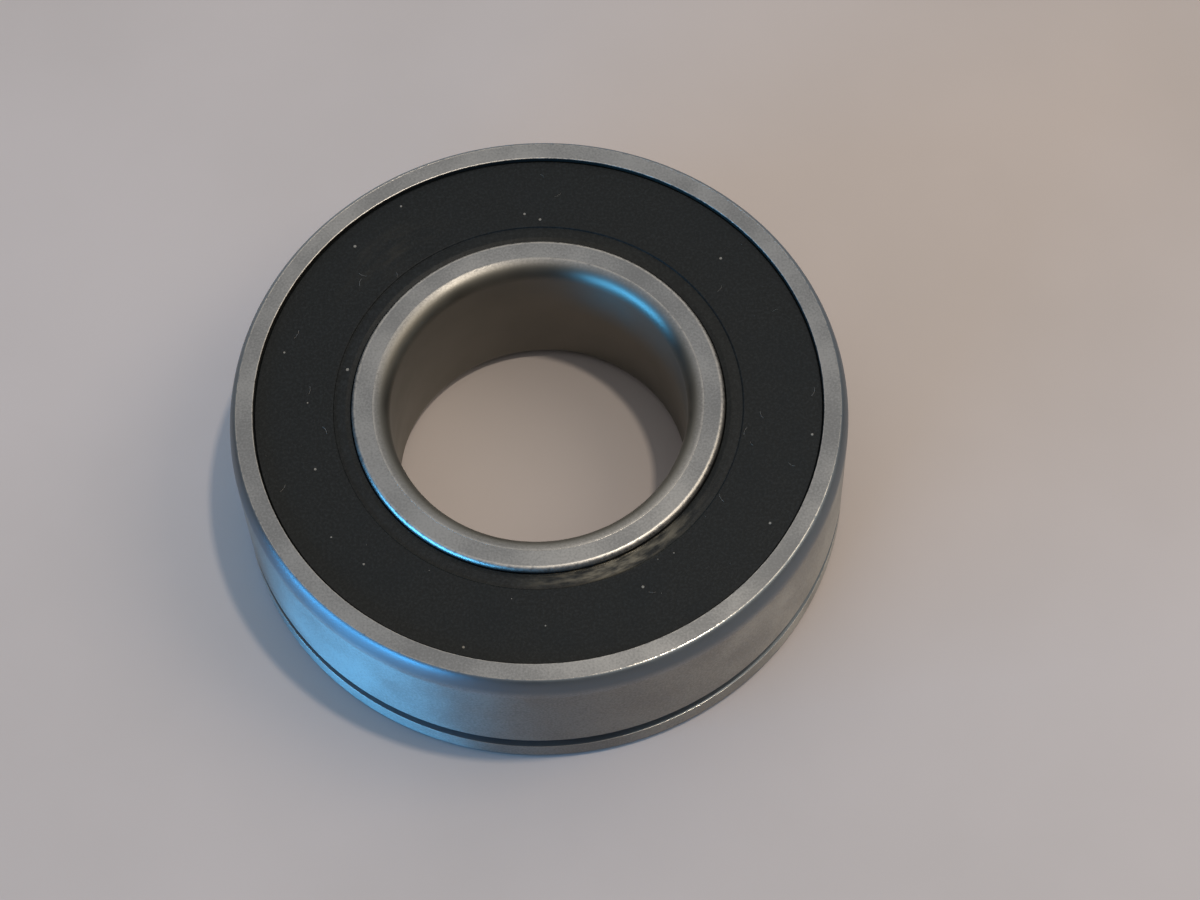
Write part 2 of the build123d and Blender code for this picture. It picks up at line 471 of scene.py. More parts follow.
def build_turning_lines():
    """Noise drawn out round the axis: Fineness is lines per metre, Length how far each runs."""
    group, inputs, outputs = shader_group(
        "turning lines", {"Fineness": 9000.0, "Length": 4.0}, ["Lines"]
    )
    place = object_place(group)
    flat = flattened(group, place)
    around = vector_node(group, "NORMALIZE", flat)
    radius = vector_node(group, "LENGTH", flat)
    split = group.nodes.new("ShaderNodeSeparateXYZ")
    group.links.new(place, split.inputs["Vector"])
    across = math_node(group, "MULTIPLY_ADD", split.outputs["Z"], HEIGHT_SHARE, radius)
    lines = math_node(group, "MULTIPLY", across, inputs.outputs["Fineness"])
    spread = group.nodes.new("ShaderNodeVectorMath")
    spread.operation = "SCALE"
    group.links.new(around, spread.inputs[0])
    group.links.new(inputs.outputs["Length"], spread.inputs["Scale"])
    combine = group.nodes.new("ShaderNodeCombineXYZ")
    group.links.new(lines, combine.inputs["Z"])
    where = vector_node(group, "ADD", spread.outputs["Vector"], combine.outputs["Vector"])
    group.links.new(noise(group, where, 1.0, detail=3.0, roughness=0.6), outputs.inputs["Lines"])
    return group


def build_edge_wear():
    """Bright worn patches along the rounded edges, broken up by noise."""
    group, inputs, outputs = shader_group(
        "edge wear", {"Scale": 900.0, "Amount": 0.5}, ["Wear"]
    )
    patches = noise(group, object_place(group), inputs.outputs["Scale"], detail=3.0)
    start = math_node(group, "SUBTRACT", 0.8, inputs.outputs["Amount"])
    broken = ramp(group, patches, start, math_node(group, "ADD", start, 0.4))
    along_edge = ramp(group, attribute(group, "edge"), 0.1, 0.9)
    worn = math_node(group, "MULTIPLY", broken, along_edge, clamp=True)
    group.links.new(worn, outputs.inputs["Wear"])
    return group


def build_dust():
    """Sparse pale specks: Scale sets their spacing and Amount how many there are."""
    group, inputs, outputs = shader_group("dust", {"Scale": 700.0, "Amount": 0.1}, ["Dust"])
    cells = group.nodes.new("ShaderNodeTexVoronoi")
    cells.inputs["Randomness"].default_value = 1.0
    group.links.new(object_place(group), cells.inputs["Vector"])
    group.links.new(inputs.outputs["Scale"], cells.inputs["Scale"])
    chosen = group.nodes.new("ShaderNodeSeparateColor")
    group.links.new(cells.outputs["Color"], chosen.inputs["Color"])
    here = math_node(group, "LESS_THAN", chosen.outputs["Red"], inputs.outputs["Amount"])
    size = math_node(group, "MULTIPLY_ADD", chosen.outputs["Green"], 0.16, 0.04)
    near = math_node(group, "LESS_THAN", cells.outputs["Distance"], size)
    group.links.new(math_node(group, "MULTIPLY", here, near), outputs.inputs["Dust"])
    return group


def build_gap_shade():
    """Painted shade in a gap: 1 at the given Radius, fading unevenly over Width outwards."""
    values = {"Radius": 0.02, "Width": 0.0002}
    group, inputs, outputs = shader_group("grime", values, ["Grime"])
    place = object_place(group)
    radius = axis_distance(group, place)
    away = math_node(group, "SUBTRACT", radius, inputs.outputs["Radius"])
    uneven = noise(group, place, 2200.0, detail=3.0, roughness=0.7)
    reach = math_node(group, "MULTIPLY", uneven, inputs.outputs["Width"])
    start = math_node(group, "MULTIPLY", reach, 0.5)
    gone = ramp(group, away, start, math_node(group, "MULTIPLY", reach, 1.6))
    group.links.new(math_node(group, "SUBTRACT", 1.0, gone), outputs.inputs["Grime"])
    return group


# marks a real smear on the seal, and also a painted sheen on the lip
def build_smear_and_sheen_patch():
    """A soft patch round the point X, Y, longer round the axis than across, broken up by lines."""
    values = {"X": 0.0, "Y": 0.02, "Size": 0.004}
    group, inputs, outputs = shader_group("smudge", values, ["Smudge"])
    place = object_place(group)
    centre = group.nodes.new("ShaderNodeCombineXYZ")
    group.links.new(inputs.outputs["X"], centre.inputs["X"])
    group.links.new(inputs.outputs["Y"], centre.inputs["Y"])
    flat = flattened(group, place)
    offset = vector_node(group, "SUBTRACT", flat, centre.outputs[0])
    from_centre = vector_node(group, "LENGTH", offset)
    radius = vector_node(group, "LENGTH", flat)
    centre_radius = vector_node(group, "LENGTH", centre.outputs[0])
    across = math_node(group, "SUBTRACT", radius, centre_radius)
    across = math_node(group, "ABSOLUTE", across)
    distance = math_node(group, "MULTIPLY_ADD", across, 1.6, from_centre)
    soft = math_node(group, "SUBTRACT", 1.0, ramp(group, distance, 0.0, inputs.outputs["Size"]))
    streaks = group.nodes.new("ShaderNodeGroup")
    streaks.node_tree = turning_lines
    streaks.inputs["Fineness"].default_value = 1800.0
    streaks.inputs["Length"].default_value = 7.0
    broken = ramp(group, streaks.outputs["Lines"], 0.35, 0.7)
    group.links.new(math_node(group, "MULTIPLY", soft, broken), outputs.inputs["Smudge"])
    return group


turning_lines = build_turning_lines()
grime = build_gap_shade()
smudge = build_smear_and_sheen_patch()
edge_wear = build_edge_wear()
dust = build_dust()
groups = (turning_lines, grime, smudge, edge_wear, dust)
print("shader groups:", ", ".join(group.name for group in groups))

# %% [markdown]
# ## Steel
# Bearing steel shows several finishes.  The faces are ground flat and shine softly.  The outside
# and the bore are ground round the axis, and their fine lines spread the light along the bearing,
# so a window becomes one long streak.  The corners are left as they were turned and hardened,
# which makes them darker.  One function makes all four steels from a colour, a roughness and how
# strongly the lines spread the light.  The Principled BSDF calls that last value Anisotropic, and
# it has to be a constant here, so each finish is a material of its own.

# %% Steels for the rings
def use_group(material, group, **values):
    """Places a shader group in a material and returns its output."""
    node = material.node_tree.nodes.new("ShaderNodeGroup")
    node.node_tree = group
    for label, value in values.items():
        node.inputs[label.capitalize()].default_value = value
    return node.outputs[0]


def mix_colour(tree, share, first, second):
    """First where share is 0 and second where it is 1; each is a socket or three numbers."""
    node = tree.nodes.new("ShaderNodeMix")
    node.data_type = "RGBA"
    tree.links.new(share, node.inputs["Factor"])
    for label, value in (("A", first), ("B", second)):
        socket = [s for s in node.inputs if s.name == label and s.type == "RGBA"][0]
        if isinstance(value, bpy.types.NodeSocket):
            tree.links.new(value, socket)
        else:
            socket.default_value = (*value, 1.0)
    return [s for s in node.outputs if s.type == "RGBA"][0]


def mix_value(tree, share, first, second):
    """The same for plain numbers."""
    node = tree.nodes.new("ShaderNodeMix")
    node.data_type = "FLOAT"
    tree.links.new(share, node.inputs["Factor"])
    for slot, value in ((2, first), (3, second)):
        feed(tree, value, node.inputs[slot])
    return node.outputs[0]


def new_material(name):
    """A material with its node tree and its Principled BSDF."""
    material = bpy.data.materials.new(name)
    material.use_nodes = True
    shader = material.node_tree.nodes["Principled BSDF"]
    return material, material.node_tree, shader


def bump(tree, height, distance, strength=1.0):
    """Fine relief: a height of 1 stands this distance above the surface."""
    node = tree.nodes.new("ShaderNodeBump")
    node.inputs["Distance"].default_value = distance
    node.inputs["Strength"].default_value = strength
    tree.links.new(height, node.inputs["Height"])
    return node.outputs["Normal"]


ACROSS_THE_LINES = 0.25  # a quarter turn, so that lines round the axis spread light along it
# the second colour, near black, is painted shade for the gap beside the rim
WORN_COLOUR, GAP_SHADE_COLOUR = (0.50, 0.48, 0.45), (0.03, 0.028, 0.026)
LIGHTER, DARKER = 1.16, 0.82
NICK_DEPTH, PITTING_DEPTH = 14.0, 0.4  # against the turning lines, which count as 1


def ring_steel(name, colour, roughness, brushed, turned_colour=(0.17, 0.16, 0.15), worn=0.36):
    """Ring steel: brushed is how far lines spread the light, worn the roughness of worn edges."""
    material, tree, shader = new_material(name)
    shader.inputs["Metallic"].default_value = 1.0
    shader.inputs["Anisotropic"].default_value = brushed
    shader.inputs["Anisotropic Rotation"].default_value = ACROSS_THE_LINES
    place = object_place(tree)
    lines = use_group(material, turning_lines, fineness=11000.0, length=5.0)
    broad = noise(tree, place, 160.0, detail=3.0)
    fine = noise(tree, place, 5200.0, detail=2.0)
    wear = use_group(material, edge_wear, scale=2600.0, amount=0.60)
    shade = math_node(tree, "MULTIPLY_ADD", fine, 0.5, math_node(tree, "MULTIPLY", broad, 0.5))
    pale = tuple(LIGHTER * c for c in colour)
    deep = tuple(DARKER * c for c in colour)
    surface = mix_colour(tree, ramp(tree, shade, 0.35, 0.65), deep, pale)
    fully_turned = ramp(tree, attribute(tree, "finish"), PALE_TURNED, 0.99)
    surface = mix_colour(tree, fully_turned, surface, turned_colour)
    surface = mix_colour(tree, wear, surface, WORN_COLOUR)
    rough = mix_value(tree, ramp(tree, broad, 0.3, 0.7), roughness - 0.04, roughness + 0.05)
    rough = mix_value(tree, wear, rough, worn)
    # painted shade: a near-black, rough band on the rim's inner edge, in the gap where the rim
    # meets the rubber
    gap_shade_width = 0.10 * MM
    gap_shade_mask = use_group(material, grime, radius=rim_radius, width=gap_shade_width)
    outside = ramp(tree, axis_distance(tree, place), rim_radius - gap_shade_width, rim_radius)
    gap_shade_mask = math_node(tree, "MULTIPLY", gap_shade_mask, outside)
    surface = mix_colour(tree, gap_shade_mask, surface, GAP_SHADE_COLOUR)
    rough = mix_value(tree, gap_shade_mask, rough, 0.7)
    tree.links.new(surface, shader.inputs["Base Color"])
    tree.links.new(rough, shader.inputs["Roughness"])
    nicks = noise(tree, place, 2600.0, detail=1.0)
    nicks = math_node(tree, "MULTIPLY", nicks, attribute(tree, "edge"))
    height = math_node(tree, "MULTIPLY_ADD", nicks, NICK_DEPTH, lines)
    height = math_node(tree, "MULTIPLY_ADD", fine, PITTING_DEPTH, height)
    tree.links.new(bump(tree, height, 0.002 * MM, strength=0.6), shader.inputs["Normal"])
    return material


face_steel = ring_steel("ground_face_steel", (0.300, 0.302, 0.302), 0.33, 0.3, worn=0.42)
round_steel = ring_steel("ground_round_steel", (0.318, 0.310, 0.298), 0.51, 0.88)
scale_steel = ring_steel(
    "hardened_corner_steel", (0.30, 0.30, 0.30), 0.42, 0.80, (0.178, 0.206, 0.234), worn=0.22
)
bore_steel = ring_steel(
    "bore_steel", (0.30, 0.295, 0.285), 0.40, 0.72, (0.175, 0.168, 0.148), worn=0.24
)
steels = (face_steel, round_steel, scale_steel, bore_steel)
print("ring steels:", ", ".join(steel.name for steel in steels))

# %% [markdown]
# ## Outer ring
# The outer ring carries the track for the balls inside and fits the housing outside.  One corner
# is long and easy, to lead the ring into its housing; near the other face a narrow groove takes a
# snap ring.  The section runs once round in the order a turner would cut it: face, seal groove,
# shoulder, track, and back along the outside.

# %% Turn the outer ring
CRISP = 0.04 * MM
lead_in_radial, lead_in_axial = 0.72 * MM, 2.2 * MM
groove_side_corner = 0.6 * MM
snap_groove_low = -face + 2.39 * MM
snap_groove_high = snap_groove_low + 1.35 * MM
snap_groove_radius = 24.865 * MM
rim_edge, undercut_root, shoulder_edge = 0.14 * MM, 0.1 * MM, 0.15 * MM
groove_root = 0.2 * MM
wall_flat = 0.06 * MM


def race_half_width(race_radius, bottom_radius, shoulder):
    """Half the width of a ball's track where it meets its shoulder."""
    return math.sqrt(race_radius**2 - (race_radius - abs(bottom_radius - shoulder)) ** 2)


outer_race_half = race_half_width(outer_race_radius, outer_race_bottom, outer_shoulder)
outer_seal_side = [
    corner(rim_radius, face, rim_edge, FACE),
    corner(rim_radius, face - rim_lip, CRISP, TURNED),
    corner(seal_groove_radius, face - rim_lip, undercut_root, TURNED),
    corner(seal_groove_radius, seal_seat, undercut_root, TURNED),
    corner(outer_shoulder, seal_seat, shoulder_edge, TURNED),
    corner(outer_shoulder, outer_race_half, 0.0, ROUND),
]
outer_section = list(outer_seal_side)
outer_section += raceway(outer_seal_side[-1]["at"], outer_race_bottom, outer_race_radius)
outer_section += mirrored(outer_seal_side)
outer_section += long_corner(outer_radius, -face, groove_side_corner, groove_side_corner, 3)
outer_section += [
    corner(outer_radius, -face + groove_side_corner + FLAT_BESIDE_ROUNDING, 0.0, ROUND),
    corner(outer_radius, snap_groove_low, CRISP, TURNED),
    corner(snap_groove_radius, snap_groove_low, groove_root, TURNED),
    corner(snap_groove_radius, snap_groove_high, groove_root, TURNED),
    corner(outer_radius, snap_groove_high, CRISP, ROUND),
    corner(outer_radius, face - lead_in_axial - wall_flat, 0.0, ROUND),
]
outer_section += long_corner(
    outer_radius, face, lead_in_radial, lead_in_axial, 0, at_wall=PALE_TURNED
)
rim_end = outer_radius - lead_in_radial - FLAT_BESIDE_ROUNDING
outer_section += [corner(rim_end, face, 0.0, FACE)]
outer_ring = turned("ground_outer_ring", outer_section, face_steel, round_steel, scale_steel)
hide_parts("outer_ring")
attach(outer_ring, "outer")

# %% [markdown]
# ## Inner ring
# The inner ring is ground in the bore and on both faces.  Its bore corners are wide and round so
# that it starts easily on a shaft, and at each end a step down from the shoulder is the land that
# the seal lip runs on.

# %% Turn the inner ring
bore_corner_radial, bore_corner_axial = 1.37 * MM, 1.6 * MM
land_bottom = face - 2.3 * MM
end_flat = 0.03 * MM
land_edge = 0.45 * MM
inner_race_half = race_half_width(inner_race_radius, inner_race_bottom, inner_shoulder)
inner_seal_side = [
    corner(bore_radius + bore_corner_radial + end_flat, face, 0.0, FACE),
    corner(seal_land_radius, face, land_edge, FACE),
    corner(seal_land_radius, land_bottom, shoulder_edge, TURNED),
    corner(inner_shoulder, land_bottom, groove_root, TURNED),
    corner(inner_shoulder, inner_race_half, 0.0, ROUND),
]
inner_section = list(inner_seal_side)
inner_section += raceway(inner_seal_side[-1]["at"], inner_race_bottom, inner_race_radius)
inner_section += mirrored(inner_seal_side)
for quadrant, height in ((2, -face), (1, face)):
    inner_section += reversed(long_corner(
        bore_radius, height, bore_corner_radial, bore_corner_axial, quadrant, at_face=PALE_TURNED
    ))
inner_ring = turned("ground_inner_ring", inner_section, face_steel, round_steel, bore_steel)
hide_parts("inner_ring")
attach(inner_ring, "inner")

# %% [markdown]
# ## Rubber seals
# Each seal is a ring of black nitrile rubber moulded over a steel insert.  Its outer bead snaps
# under the lip of the outer ring and its inner lip runs on the inner ring.  The rubber is matt,
# with a fine grain from the mould, and turns shiny near the lip where grease and handling have
# polished it.  The shine follows the distance from the axis, so the material reads the radius.
# On the lamp's side the greasy lip also carries a painted sheen, a pale brown patch where the
# lamp's highlight falls.

# %% Rubber
RUBBER_DEEP, RUBBER_PALE = (0.0034, 0.0050, 0.0056), (0.0054, 0.0072, 0.0080)
GRAIN_COLOUR, SPECK_COLOUR = (0.0130, 0.0158, 0.0172), (0.22, 0.21, 0.19)
# the second colour is a painted sheen, pale brown where the lamp's highlight falls on the greasy
# lip
SMEAR_COLOUR, SHEEN_AND_GREASE_COLOUR = (0.060, 0.050, 0.036), (0.17, 0.14, 0.085)


def build_rubber():
    """Matt black rubber with mould grain, a dry smear, and a painted sheen on a greasy lip patch.
    """
    material, tree, shader = new_material("nitrile_rubber")
    place = object_place(tree)
    radius = axis_distance(tree, place)
    lip_inside, lip_outside = seal_land_radius + 1.1 * MM, seal_land_radius + 1.7 * MM
    lip_zone = math_node(tree, "SUBTRACT", 1.0, ramp(tree, radius, lip_inside, lip_outside))
    grain = noise(tree, place, 4200.0, detail=3.0, roughness=0.7)
    cloud = noise(tree, place, 220.0, detail=4.0)
    lines = use_group(material, turning_lines, fineness=3800.0, length=2.0)
    specks = use_group(material, dust, scale=1500.0, amount=0.03)
    smear = use_group(material, smudge, x=-12.6 * MM, y=15.2 * MM, size=9.0 * MM)
    # painted sheen and grease: a pale brown, glossier patch on the lip zone on the lamp's side
    sheen_and_grease = use_group(material, smudge, x=6.4 * MM, y=-15.2 * MM, size=10.5 * MM)
    mottled = ramp(tree, cloud, 0.3, 0.7)
    black = mix_colour(tree, mottled, RUBBER_DEEP, RUBBER_PALE)
    black = mix_colour(tree, ramp(tree, grain, 0.40, 0.72), black, GRAIN_COLOUR)
    black = mix_colour(tree, math_node(tree, "MULTIPLY", smear, 0.2), black, SMEAR_COLOUR)
    sheen_and_grease = math_node(tree, "MULTIPLY", sheen_and_grease, lip_zone)
    # paints the sheen's pale brown into the rubber's colour
    black = mix_colour(tree, math_node(tree, "MULTIPLY", sheen_and_grease, 0.9), black, SHEEN_AND_GREASE_COLOUR)
    black = mix_colour(tree, specks, black, SPECK_COLOUR)
    rough = mix_value(tree, mottled, 0.48, 0.62)
    rough = mix_value(tree, lip_zone, rough, 0.48)
    tree.links.new(black, shader.inputs["Base Color"])
    tree.links.new(rough, shader.inputs["Roughness"])
    shader.inputs["Specular IOR Level"].default_value = 0.22
    shader.inputs["Coat Roughness"].default_value = 0.25
    shine = math_node(tree, "MULTIPLY_ADD", sheen_and_grease, 2.0, 0.05)
    gloss = math_node(tree, "MULTIPLY", lip_zone, shine)
    tree.links.new(gloss, shader.inputs["Coat Weight"])
    height = math_node(tree, "MULTIPLY_ADD", lines, 0.5, grain)
    tree.links.new(bump(tree, height, 0.03 * MM, strength=0.8), shader.inputs["Normal"])
    return material


rubber = build_rubber()
print("rubber:", rubber.name, "with", len(rubber.node_tree.nodes), "nodes")

# %% [markdown]
# The section of a seal runs from the bead up over the flat, down the small step to the lip zone,
# round the lip, and back along the insert.  The lower seal is the same moulding turned over, so
# its section is the mirror image.

# %% Mould the two seals
lip_gap = 0.06 * MM
bead_gap = 0.02 * MM
lip_radius = seal_land_radius + lip_gap
step_radius = lip_radius + 1.45 * MM
insert_thickness = 0.4 * MM
insert_top = seal_top - 0.42 * MM
insert_bottom = insert_top - insert_thickness
bead_top = face - rim_lip - bead_gap
bead_radius = seal_groove_radius - bead_gap
web_radius = rim_radius - bead_gap
insert_inner = lip_radius + 1.05 * MM
insert_outer = rim_radius - 0.7 * MM
under_radius = outer_shoulder + 0.2 * MM
SOFT = 0.08 * MM
rubber_section = [
    # the bead in its groove, and the flat
    corner(bead_radius, seal_seat, SOFT),
    corner(bead_radius, bead_top, SOFT),
    corner(web_radius, bead_top, SOFT / 2),
    corner(web_radius - 0.12 * MM, seal_top, SOFT / 2),
    # the step down, and the slightly raised zone beside the lip
    corner(step_radius + 0.05 * MM, seal_top, SOFT),
    corner(step_radius - 0.05 * MM, seal_top - 0.12 * MM, SOFT / 2),
    corner(step_radius - 0.40 * MM, seal_top - 0.09 * MM, 0.3 * MM),
    corner(lip_radius + 0.45 * MM, seal_top - 0.07 * MM, 0.5 * MM),
    # the lip, from its top edge down to its underside
    corner(lip_radius + 0.03 * MM, seal_top - 0.16 * MM, SOFT),
    corner(lip_radius, seal_top - 0.45 * MM, SOFT),
    corner(lip_radius, insert_bottom - 0.5 * MM, SOFT / 2),
    corner(lip_radius + 0.5 * MM, insert_bottom, SOFT),
    # round the steel insert, and back under the bead
    corner(insert_inner, insert_bottom, CRISP),
    corner(insert_inner, insert_top, CRISP),
    corner(insert_outer, insert_top, CRISP),
    corner(insert_outer, insert_bottom, CRISP),
    corner(under_radius, insert_bottom, CRISP),
    corner(under_radius, seal_seat, CRISP),
]
for side, corners in (("upper", rubber_section), ("lower", mirrored(rubber_section))):
    seal = turned(f"moulded_{side}_seal", corners, rubber)
    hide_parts(f"seal_{side}_rubber")
    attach(seal, "outer")

# %% [markdown]
# ## What is inside
# Balls, cage, rivets and inserts stay out of sight behind the seals, but each keeps its true shape
# and a finish of its own, so the bearing can be opened up in a cutaway.

# %% Steel for the small parts
def plain_steel(name, colour, roughness, grain_scale, grain_depth):
    """Steel of one finish: a slightly clouded colour and an even grain."""
    material, tree, shader = new_material(name)
    shader.inputs["Metallic"].default_value = 1.0
    place = object_place(tree)
    cloud = noise(tree, place, 300.0, detail=4.0)
    grain = noise(tree, place, grain_scale, detail=2.0)
    deep = tuple(0.8 * c for c in colour)
    clouded = mix_colour(tree, ramp(tree, cloud, 0.3, 0.7), deep, colour)
    tree.links.new(clouded, shader.inputs["Base Color"])
    rough = mix_value(tree, cloud, roughness - 0.05, roughness + 0.08)
    tree.links.new(rough, shader.inputs["Roughness"])
    tree.links.new(bump(tree, grain, grain_depth), shader.inputs["Normal"])
    return material


lapped_steel = plain_steel("lapped_ball_steel", (0.66, 0.66, 0.67), 0.10, 3000.0, 0.0002 * MM)
pressed_steel = plain_steel("pressed_cage_steel", (0.50, 0.50, 0.51), 0.34, 2600.0, 0.004 * MM)
rivet_steel = plain_steel("rivet_steel", (0.56, 0.55, 0.54), 0.30, 2200.0, 0.003 * MM)
insert_steel = plain_steel("insert_steel", (0.44, 0.44, 0.45), 0.38, 2400.0, 0.003 * MM)
small_steels = (lapped_steel, pressed_steel, rivet_steel, insert_steel)
print("small parts:", ", ".join(steel.name for steel in small_steels))

# %% [markdown]
# Nine balls are the same piece nine times, so one small tree makes a ball and its inputs place it.
# Each becomes a mesh of its own, because every ball turns on its own body in the CAD model.

# %% Lapped balls
BALL_SUBDIVISIONS = 6


def build_ball():
    """A ball of the given radius round the given centre."""
    sizes = {"Radius": "Float", "Centre": "Vector", "Material": "Material"}
    tree, inputs, outputs = new_tree("ball", sizes)
    sphere = tree.nodes.new("GeometryNodeMeshIcoSphere")
    sphere.inputs["Subdivisions"].default_value = BALL_SUBDIVISIONS
    place = tree.nodes.new("GeometryNodeTransform")
    link_chain(
        tree,
        inputs.outputs["Radius"], sphere.inputs["Radius"],
        sphere.outputs["Mesh"], place.inputs["Geometry"],
        inputs.outputs["Centre"], place.inputs["Translation"],
    )
    finish_tree(tree, place.outputs["Geometry"], inputs, outputs)
    return tree


ball_tree = build_ball()
for number in range(1, ball_count + 1):
    low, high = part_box(f"ball_{number}")
    ball = point_outwards(run_bare(
        f"lapped_ball_{number}", ball_tree,
        radius=ball_radius, centre=(low + high) / 2, material=lapped_steel,
    ))
    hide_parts(f"ball_{number}")
    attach(ball, f"ball_{number}")

# %% [markdown]
# A rivet has a round shank and two domed heads, drawn as half a section from the axis.  The lathe
# turns one, and Instance on Points sets it between the balls all round the cage.

# %% Rivets on the pitch circle
def build_ring_pattern():
    """Copies of one piece, evenly spaced on a circle from the first angle on."""
    sizes = {
        "Count": "Int", "Ring Radius": "Float", "First Angle": "Float", "Piece": "Object",
        "Material": "Material",
    }
    tree, inputs, outputs = new_tree("ring pattern", sizes)
    nodes = tree.nodes
    circle = nodes.new("GeometryNodeMeshCircle")
    angle = nodes.new("ShaderNodeCombineXYZ")
    turn_circle = nodes.new("GeometryNodeTransform")
    piece = nodes.new("GeometryNodeObjectInfo")
    spread = nodes.new("GeometryNodeInstanceOnPoints")
    link_chain(
        tree,
        inputs.outputs["Count"], circle.inputs["Vertices"],
        inputs.outputs["Ring Radius"], circle.inputs["Radius"],
        inputs.outputs["First Angle"], angle.inputs["Z"],
        angle.outputs["Vector"], turn_circle.inputs["Rotation"],
        circle.outputs["Mesh"], turn_circle.inputs["Geometry"],
        turn_circle.outputs["Geometry"], spread.inputs["Points"],
        inputs.outputs["Piece"], piece.inputs["Object"],
        piece.outputs["Geometry"], spread.inputs["Instance"],
    )
    finish_tree(tree, spread.outputs["Instances"], inputs, outputs)
    return tree


def dome(radius, height, top, steps=6):
    """Corners of a rivet head from its crown to its rim."""
    turns = [math.pi / 2 * step / steps for step in range(steps + 1)]
    return [corner(radius * math.sin(t), top - height * (1 - math.cos(t))) for t in turns]


rivet_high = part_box("cage_rivet_1")[1]
head_height, shank_radius, head_radius = 0.45 * MM, 0.5 * MM, 0.9 * MM
upper_head = dome(head_radius, head_height, rivet_high.z)
under_head = rivet_high.z - head_height
shank = [corner(shank_radius, under_head), corner(shank_radius, -under_head)]
rivet_section = upper_head + shank + flipped_over(upper_head)
rivet_outline = outline_object("rivet_outline", rivet_section, closed=False)
one_rivet = point_outwards(run_tree(
    "one_rivet", rivet_outline, lathe, segments=32, sweep_radius=1.0 * MM,
    material=rivet_steel, round_material=rivet_steel, turned_material=rivet_steel,
))
rivets = point_outwards(run_bare(
    "cage_rivets", build_ring_pattern(), count=ball_count, ring_radius=pitch_radius,
    first_angle=math.pi / ball_count, piece=one_rivet, material=rivet_steel,
))
for leftover in (rivet_outline, one_rivet):
    bpy.data.objects.remove(leftover)
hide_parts(*[f"cage_rivet_{n}" for n in range(1, ball_count + 1)])
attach(rivets, "cage")

# %% [markdown]
# The inserts are flat steel washers with sheared edges, turned here like the rings.  The cage
# halves keep their CAD shape, because a pressed ribbon between balls is already right there, and
# only get the finish of pressed sheet steel.

# %% Seal inserts and the cage
for side, top in (("upper", insert_top), ("lower", -insert_bottom)):
    bottom = top - insert_thickness
    washer = turned(
        f"sheared_{side}_insert",
        [
            corner(insert_inner, bottom, CRISP), corner(insert_outer, bottom, CRISP),
            corner(insert_outer, top, CRISP), corner(insert_inner, top, CRISP),
        ],
        insert_steel,
    )
    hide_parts(f"seal_{side}_insert")
    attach(washer, "outer")

for name in ("cage_half_upper", "cage_half_lower"):
    for slot in bpy.data.objects[name].material_slots:
        slot.material = pressed_steel
    print(f"{name}: CAD shape, {pressed_steel.name}")

# %% [markdown]
# ## Lint on the seal
# A used bearing always carries a few fibres and crumbs that stick to the rubber.  A hand could
# place a dozen, but Geometry Nodes scatters them from a fixed seed over the seal's flat and turns
# each bent fibre its own way, so they can be thinned out or moved by changing one input.

# %% Scatter fibres and crumbs
FIBRE_STEPS, FIBRE_SIDES, SHORTEST_SHARE = 10, 6, 0.35


